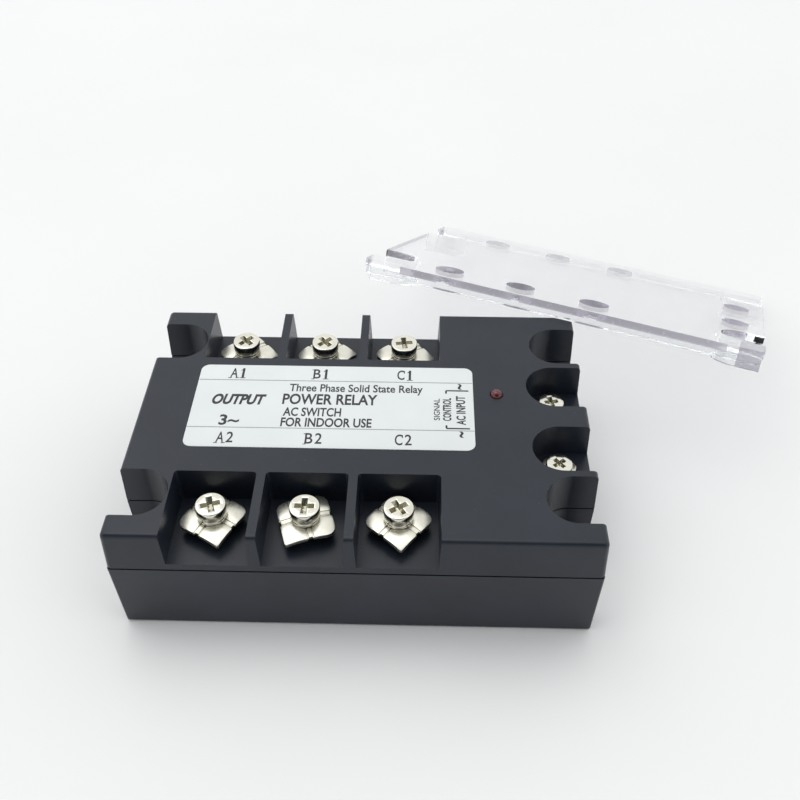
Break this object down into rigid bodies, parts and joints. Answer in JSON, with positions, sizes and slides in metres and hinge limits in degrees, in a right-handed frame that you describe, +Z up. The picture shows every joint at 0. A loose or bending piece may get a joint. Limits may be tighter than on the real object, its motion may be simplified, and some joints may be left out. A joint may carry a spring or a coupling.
{
  "type": "solid state relay",
  "caption": "Three-phase solid state relay: black case on a metal base, open screw terminal bays front and back, control wells at one end, and a clear guard leaning on it.",
  "frame": {"origin": "centre of the metal base's underside", "axes": "+X along the case towards the control wells, +Y to the back row of terminals, +Z up"},
  "size_m": [0.1715, 0.156, 0.0355],
  "materials": {
    "case_plastic": "fine spark-grained black moulding",
    "base_aluminium": "brushed plate",
    "label_film": "matt white printed film",
    "clear_plastic": "clear polished polycarbonate",
    "nickel_steel": "nickel plated steel",
    "nickel_brass": "nickel plated brass",
    "zinc_steel": "zinc plated steel",
    "copper": "bare copper with chips",
    "ceramic": "white alumina",
    "board_laminate": "green solder mask",
    "tinned_wire": "tinned wire",
    "chip_moulding": "black epoxy",
    "resistor_body": "tan lacquer",
    "capacitor_box": "dark red box",
    "varistor_coat": "blue epoxy dip",
    "capacitor_sleeve": "dark blue sleeve",
    "red_lamp": "clear red epoxy",
    "potting": "cast silicone"
  },
  "bodies": {
    "housing": {"base_plate": "base_aluminium", "lower_case": "case_plastic", "upper_case": "case_plastic", "rating_label": "label_film", "case_screws": "zinc_steel", "control_board": "board_laminate", "ceramic_insulators": "ceramic", "gate_leads": "tinned_wire", "optocouplers": "chip_moulding", "gate_resistors": "resistor_body", "snubber_resistors": "resistor_body", "snubber_capacitors": "capacitor_box", "varistors": "varistor_coat", "bridge_rectifier": "chip_moulding", "input_capacitor": "capacitor_sleeve", "status_led": "red_lamp", "led_leads": "tinned_wire", "thyristor_module_a": "copper", "thyristor_module_b": "copper", "thyristor_module_c": "copper", "potting_compound": "potting", "power_terminal_a1": "nickel_brass", "power_terminal_a2": "nickel_brass", "power_terminal_b1": "nickel_brass", "power_terminal_b2": "nickel_brass", "power_terminal_c1": "nickel_brass", "power_terminal_c2": "nickel_brass", "control_terminal_in1": "nickel_brass", "control_terminal_in2": "nickel_brass"},
    "clamp_a1": {"clamp_plate_a1": "nickel_steel", "spring_washer_a1": "nickel_steel"},
    "driver_a1": {"screw_a1": "nickel_steel"},
    "clamp_a2": {"clamp_plate_a2": "nickel_steel", "spring_washer_a2": "nickel_steel"},
    "driver_a2": {"screw_a2": "nickel_steel"},
    "clamp_b1": {"clamp_plate_b1": "nickel_steel", "spring_washer_b1": "nickel_steel"},
    "driver_b1": {"screw_b1": "nickel_steel"},
    "clamp_b2": {"clamp_plate_b2": "nickel_steel", "spring_washer_b2": "nickel_steel"},
    "driver_b2": {"screw_b2": "nickel_steel"},
    "clamp_c1": {"clamp_plate_c1": "nickel_steel", "spring_washer_c1": "nickel_steel"},
    "driver_c1": {"screw_c1": "nickel_steel"},
    "clamp_c2": {"clamp_plate_c2": "nickel_steel", "spring_washer_c2": "nickel_steel"},
    "driver_c2": {"screw_c2": "nickel_steel"},
    "clamp_in1": {"clamp_plate_in1": "nickel_steel", "spring_washer_in1": "nickel_steel"},
    "driver_in1": {"screw_in1": "nickel_steel"},
    "clamp_in2": {"clamp_plate_in2": "nickel_steel", "spring_washer_in2": "nickel_steel"},
    "driver_in2": {"screw_in2": "nickel_steel"},
    "guard": {"clear_guard": "clear_plastic"}
  },
  "joints": [
    {"name": "rise_a1", "type": "slide", "parent": "housing", "child": "clamp_a1", "axis": [0, 0, 1], "range_m": [0, 0.0035]},
    {"name": "turn_a1", "type": "hinge", "parent": "clamp_a1", "child": "driver_a1", "pos_m": [-0.031, 0.027, 0.025], "axis": [0, 0, 1], "range_deg": [0, 1802]},
    {"name": "rise_a2", "type": "slide", "parent": "housing", "child": "clamp_a2", "axis": [0, 0, 1], "range_m": [0, 0.0035]},
    {"name": "turn_a2", "type": "hinge", "parent": "clamp_a2", "child": "driver_a2", "pos_m": [-0.031, -0.027, 0.025], "axis": [0, 0, 1], "range_deg": [0, 1802]},
    {"name": "rise_b1", "type": "slide", "parent": "housing", "child": "clamp_b1", "axis": [0, 0, 1], "range_m": [0, 0.0035]},
    {"name": "turn_b1", "type": "hinge", "parent": "clamp_b1", "child": "driver_b1", "pos_m": [-0.011, 0.027, 0.025], "axis": [0, 0, 1], "range_deg": [0, 1802]},
    {"name": "rise_b2", "type": "slide", "parent": "housing", "child": "clamp_b2", "axis": [0, 0, 1], "range_m": [0, 0.0035]},
    {"name": "turn_b2", "type": "hinge", "parent": "clamp_b2", "child": "driver_b2", "pos_m": [-0.011, -0.027, 0.025], "axis": [0, 0, 1], "range_deg": [0, 1802]},
    {"name": "rise_c1", "type": "slide", "parent": "housing", "child": "clamp_c1", "axis": [0, 0, 1], "range_m": [0, 0.0035]},
    {"name": "turn_c1", "type": "hinge", "parent": "clamp_c1", "child": "driver_c1", "pos_m": [0.009, 0.027, 0.025], "axis": [0, 0, 1], "range_deg": [0, 1802]},
    {"name": "rise_c2", "type": "slide", "parent": "housing", "child": "clamp_c2", "axis": [0, 0, 1], "range_m": [0, 0.0035]},
    {"name": "turn_c2", "type": "hinge", "parent": "clamp_c2", "child": "driver_c2", "pos_m": [0.009, -0.027, 0.025], "axis": [0, 0, 1], "range_deg": [0, 1802]},
    {"name": "rise_in1", "type": "slide", "parent": "housing", "child": "clamp_in1", "axis": [0, 0, 1], "range_m": [0, 0.0025]},
    {"name": "turn_in1", "type": "hinge", "parent": "clamp_in1", "child": "driver_in1", "pos_m": [0.0449, 0.0101, 0.025], "axis": [0, 0, 1], "range_deg": [0, 1802]},
    {"name": "rise_in2", "type": "slide", "parent": "housing", "child": "clamp_in2", "axis": [0, 0, 1], "range_m": [0, 0.0025]},
    {"name": "turn_in2", "type": "hinge", "parent": "clamp_in2", "child": "driver_in2", "pos_m": [0.0449, -0.0101, 0.025], "axis": [0, 0, 1], "range_deg": [0, 1802]},
    {"name": "guard_lift", "type": "slide", "parent": "housing", "child": "guard", "axis": [0, 0, 1], "range_m": [0, 0.06]}
  ],
  "couplings": [
    {"joint": "turn_a1", "follows": "rise_a1", "rad_per_m": 8976},
    {"joint": "turn_a2", "follows": "rise_a2", "rad_per_m": 8976},
    {"joint": "turn_b1", "follows": "rise_b1", "rad_per_m": 8976},
    {"joint": "turn_b2", "follows": "rise_b2", "rad_per_m": 8976},
    {"joint": "turn_c1", "follows": "rise_c1", "rad_per_m": 8976},
    {"joint": "turn_c2", "follows": "rise_c2", "rad_per_m": 8976},
    {"joint": "turn_in1", "follows": "rise_in1", "rad_per_m": 12566},
    {"joint": "turn_in2", "follows": "rise_in2", "rad_per_m": 12566}
  ]
}
